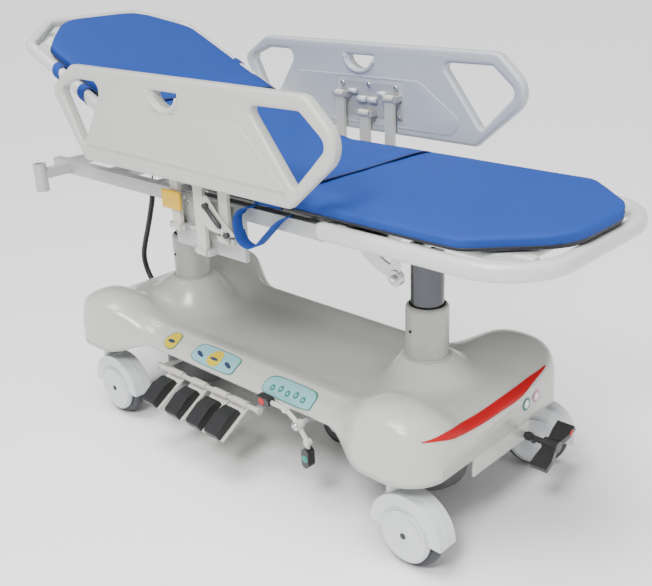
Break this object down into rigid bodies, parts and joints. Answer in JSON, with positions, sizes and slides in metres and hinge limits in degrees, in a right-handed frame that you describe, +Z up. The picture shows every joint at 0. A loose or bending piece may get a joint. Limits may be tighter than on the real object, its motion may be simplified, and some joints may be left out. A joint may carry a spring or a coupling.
{
  "type": "stretcher trolley",
  "caption": "Wheeled patient stretcher with column lift, tilting platform, raised backrest, folding side rails and pump pedals.",
  "frame": {"origin": "on the floor, at the middle of the footprint", "axes": "+X towards the foot end, +Y away from the pedal side, +Z up"},
  "size_m": [2.0375, 0.8918, 1.333],
  "materials": {
    "cover_white": "satin",
    "board_white": "satin",
    "rail_grey": "satin",
    "castor_white": "satin",
    "frame_silver": "satin",
    "column_cream": "satin",
    "lever_white": "satin",
    "pump_grey": "satin",
    "ram_chrome": "polished",
    "bare_steel": "satin",
    "strut_aluminium": "satin",
    "seal_rubber": "matte",
    "pad_rubber": "matte",
    "pedal_black": "matte",
    "tyre_grey": "matte",
    "tyre_black": "matte",
    "core_grey": "satin",
    "core_dark": "satin",
    "latch_yellow": "satin",
    "damper_dark": "satin",
    "mattress_blue": "satin",
    "hose_black": "satin"
  },
  "bodies": {
    "base": {"base_cover": "cover_white", "chassis_frame": "frame_silver", "head_sleeve": "column_cream", "foot_sleeve": "column_cream", "column_seals": "seal_rubber", "head_pump": "pump_grey", "foot_pump": "pump_grey", "pedal_shaft": "lever_white"},
    "castor_1": {"castor_housing_1": "castor_white"},
    "wheel_1": {"wheel_core_1": "core_grey", "wheel_tyre_1": "tyre_grey"},
    "castor_2": {"castor_housing_2": "castor_white"},
    "wheel_2": {"wheel_core_2": "core_grey", "wheel_tyre_2": "tyre_grey"},
    "castor_3": {"castor_housing_3": "castor_white"},
    "wheel_3": {"wheel_core_3": "core_grey", "wheel_tyre_3": "tyre_grey"},
    "castor_4": {"castor_housing_4": "castor_white"},
    "wheel_4": {"wheel_core_4": "core_grey", "wheel_tyre_4": "tyre_grey"},
    "fifth_leg": {"fifth_arm": "frame_silver"},
    "fifth_roller": {"fifth_wheel": "core_dark", "fifth_tyre": "tyre_black"},
    "pedal_1": {"pump_lever_1": "lever_white", "pump_pad_1": "pad_rubber"},
    "pedal_2": {"pump_lever_2": "lever_white", "pump_pad_2": "pad_rubber"},
    "pedal_3": {"pump_lever_3": "lever_white", "pump_pad_3": "pad_rubber"},
    "pedal_4": {"pump_lever_4": "lever_white", "pump_pad_4": "pad_rubber"},
    "rocker": {"rocker_arm": "lever_white", "rocker_pad_brake": "pedal_black", "rocker_pad_steer": "pedal_black"},
    "end_pedal_body": {"end_pedal_shaft": "pedal_black", "end_pedal": "pedal_black"},
    "head_lift": {"head_ram": "ram_chrome", "head_yoke": "bare_steel"},
    "foot_lift": {"foot_stage": "ram_chrome"},
    "foot_tilt": {"foot_ram": "ram_chrome"},
    "deck": {"deck_frame": "frame_silver", "seat_deck": "board_white", "tilt_strut": "strut_aluminium", "mattress_seat": "mattress_blue", "hose_hook": "damper_dark", "hose": "hose_black", "hose_fitting": "strut_aluminium", "gas_spring": "damper_dark"},
    "backrest": {"backrest_board": "board_white", "mattress_back": "mattress_blue"},
    "arms_near": {"rail_arms_near": "lever_white"},
    "rail_near": {"rail_panel_near": "rail_grey", "rail_plate_near": "frame_silver"},
    "link_near": {"rail_link_near": "lever_white"},
    "latch_near": {"rail_latch_near": "latch_yellow"},
    "arms_far": {"rail_arms_far": "lever_white"},
    "rail_far": {"rail_panel_far": "rail_grey", "rail_plate_far": "frame_silver"},
    "link_far": {"rail_link_far": "lever_white"},
    "latch_far": {"rail_latch_far": "latch_yellow"}
  },
  "joints": [
    {"name": "castor_swivel_1", "type": "hinge", "parent": "base", "child": "castor_1", "pos_m": [0.6188, -0.3, 0.19], "axis": [0, 0, 1], "continuous": true},
    {"name": "wheel_spin_1", "type": "hinge", "parent": "castor_1", "child": "wheel_1", "pos_m": [0.6738, -0.3, 0.1], "axis": [0, 1, 0], "continuous": true},
    {"name": "castor_swivel_2", "type": "hinge", "parent": "base", "child": "castor_2", "pos_m": [0.6188, 0.3, 0.19], "axis": [0, 0, 1], "continuous": true},
    {"name": "wheel_spin_2", "type": "hinge", "parent": "castor_2", "child": "wheel_2", "pos_m": [0.66865, 0.32324, 0.1], "axis": [-0.4226, 0.9063, 0], "continuous": true},
    {"name": "castor_swivel_3", "type": "hinge", "parent": "base", "child": "castor_3", "pos_m": [-0.6812, -0.3, 0.19], "axis": [0, 0, 1], "continuous": true},
    {"name": "wheel_spin_3", "type": "hinge", "parent": "castor_3", "child": "wheel_3", "pos_m": [-0.6262, -0.3, 0.1], "axis": [0, 1, 0], "continuous": true},
    {"name": "castor_swivel_4", "type": "hinge", "parent": "base", "child": "castor_4", "pos_m": [-0.6812, 0.3, 0.19], "axis": [0, 0, 1], "continuous": true},
    {"name": "wheel_spin_4", "type": "hinge", "parent": "castor_4", "child": "wheel_4", "pos_m": [-0.6262, 0.3, 0.1], "axis": [0, 1, 0], "continuous": true},
    {"name": "fifth_leg_swing", "type": "hinge", "parent": "base", "child": "fifth_leg", "pos_m": [0.3288, 0, 0.24], "axis": [0, 1, 0], "range_deg": [-6.5, 6.5]},
    {"name": "fifth_wheel_spin", "type": "hinge", "parent": "fifth_leg", "child": "fifth_roller", "pos_m": [0.1388, 0, 0.084], "axis": [0, 1, 0], "continuous": true},
    {"name": "pump_pedal_1_press", "type": "hinge", "parent": "base", "child": "pedal_1", "pos_m": [-0.3212, -0.285, 0.235], "axis": [1, 0, 0], "range_deg": [0, 18], "stiffness_Nm_per_rad": 10, "springref_deg": -22.92},
    {"name": "pump_pedal_2_press", "type": "hinge", "parent": "base", "child": "pedal_2", "pos_m": [-0.2032, -0.285, 0.235], "axis": [1, 0, 0], "range_deg": [0, 18], "stiffness_Nm_per_rad": 10, "springref_deg": -22.92},
    {"name": "pump_pedal_3_press", "type": "hinge", "parent": "base", "child": "pedal_3", "pos_m": [-0.0972, -0.285, 0.235], "axis": [1, 0, 0], "range_deg": [0, 18], "stiffness_Nm_per_rad": 10, "springref_deg": -22.92},
    {"name": "pump_pedal_4_press", "type": "hinge", "parent": "base", "child": "pedal_4", "pos_m": [-0.0092, -0.285, 0.235], "axis": [1, 0, 0], "range_deg": [0, 18], "stiffness_Nm_per_rad": 10, "springref_deg": -22.92},
    {"name": "rocker_tilt", "type": "hinge", "parent": "base", "child": "rocker", "pos_m": [0.2818, -0.32, 0.28], "axis": [0, 1, 0], "range_deg": [-12, 12]},
    {"name": "end_pedal_tilt", "type": "hinge", "parent": "base", "child": "end_pedal_body", "pos_m": [0.7688, 0.13, 0.218], "axis": [1, 0, 0], "range_deg": [-12.5, 12.5]},
    {"name": "platform_lift", "type": "slide", "parent": "base", "child": "head_lift", "axis": [0, 0, 1], "range_m": [-0.08, 0.24]},
    {"name": "foot_lift_slide", "type": "slide", "parent": "base", "child": "foot_lift", "axis": [0, 0, 1], "range_m": [-0.081, 0.241]},
    {"name": "platform_tilt", "type": "hinge", "parent": "head_lift", "child": "deck", "pos_m": [-0.5557, 0, 0.835], "axis": [0, 1, 0], "range_deg": [-14, 6]},
    {"name": "foot_column_extend", "type": "slide", "parent": "foot_lift", "child": "foot_tilt", "axis": [0, 0, 1], "range_m": [-0.12, 0.27]},
    {"name": "backrest_raise", "type": "hinge", "parent": "deck", "child": "backrest", "pos_m": [-0.1322, 0, 0.885], "axis": [0, 1, 0], "range_deg": [-24, 46]},
    {"name": "rail_near_fold", "type": "hinge", "parent": "deck", "child": "arms_near", "pos_m": [-0.0312, -0.353, 0.8], "axis": [1, 0, 0], "range_deg": [0, 150]},
    {"name": "rail_near_level", "type": "hinge", "parent": "arms_near", "child": "rail_near", "pos_m": [-0.0312, -0.353, 1.075], "axis": [1, 0, 0], "range_deg": [-151, 1]},
    {"name": "rail_near_link", "type": "hinge", "parent": "deck", "child": "link_near", "pos_m": [-0.0312, -0.353, 0.745], "axis": [1, 0, 0], "range_deg": [-1, 151]},
    {"name": "rail_near_latch", "type": "hinge", "parent": "arms_near", "child": "latch_near", "pos_m": [-0.1482, -0.365, 0.903], "axis": [-1, 0, 0], "range_deg": [0, 12], "stiffness_Nm_per_rad": 1.5, "springref_deg": -17.19},
    {"name": "rail_far_fold", "type": "hinge", "parent": "deck", "child": "arms_far", "pos_m": [-0.0312, 0.353, 0.8], "axis": [-1, 0, 0], "range_deg": [0, 150]},
    {"name": "rail_far_level", "type": "hinge", "parent": "arms_far", "child": "rail_far", "pos_m": [-0.0312, 0.353, 1.075], "axis": [-1, 0, 0], "range_deg": [-151, 1]},
    {"name": "rail_far_link", "type": "hinge", "parent": "deck", "child": "link_far", "pos_m": [-0.0312, 0.353, 0.745], "axis": [-1, 0, 0], "range_deg": [-1, 151]},
    {"name": "rail_far_latch", "type": "hinge", "parent": "arms_far", "child": "latch_far", "pos_m": [-0.1482, 0.365, 0.903], "axis": [1, 0, 0], "range_deg": [0, 12], "stiffness_Nm_per_rad": 1.5, "springref_deg": -17.19}
  ],
  "couplings": [
    {"joint": "foot_lift_slide", "follows": "platform_lift", "ratio": 1},
    {"joint": "foot_column_extend", "follows": "platform_tilt", "m_per_rad": -1.0616},
    {"joint": "fifth_leg_swing", "follows": "rocker_tilt", "ratio": 0.5},
    {"joint": "end_pedal_tilt", "follows": "rocker_tilt", "ratio": 1},
    {"joint": "rail_near_level", "follows": "rail_near_fold", "ratio": -1},
    {"joint": "rail_near_link", "follows": "rail_near_fold", "ratio": 1},
    {"joint": "rail_far_level", "follows": "rail_far_fold", "ratio": -1},
    {"joint": "rail_far_link", "follows": "rail_far_fold", "ratio": 1}
  ]
}
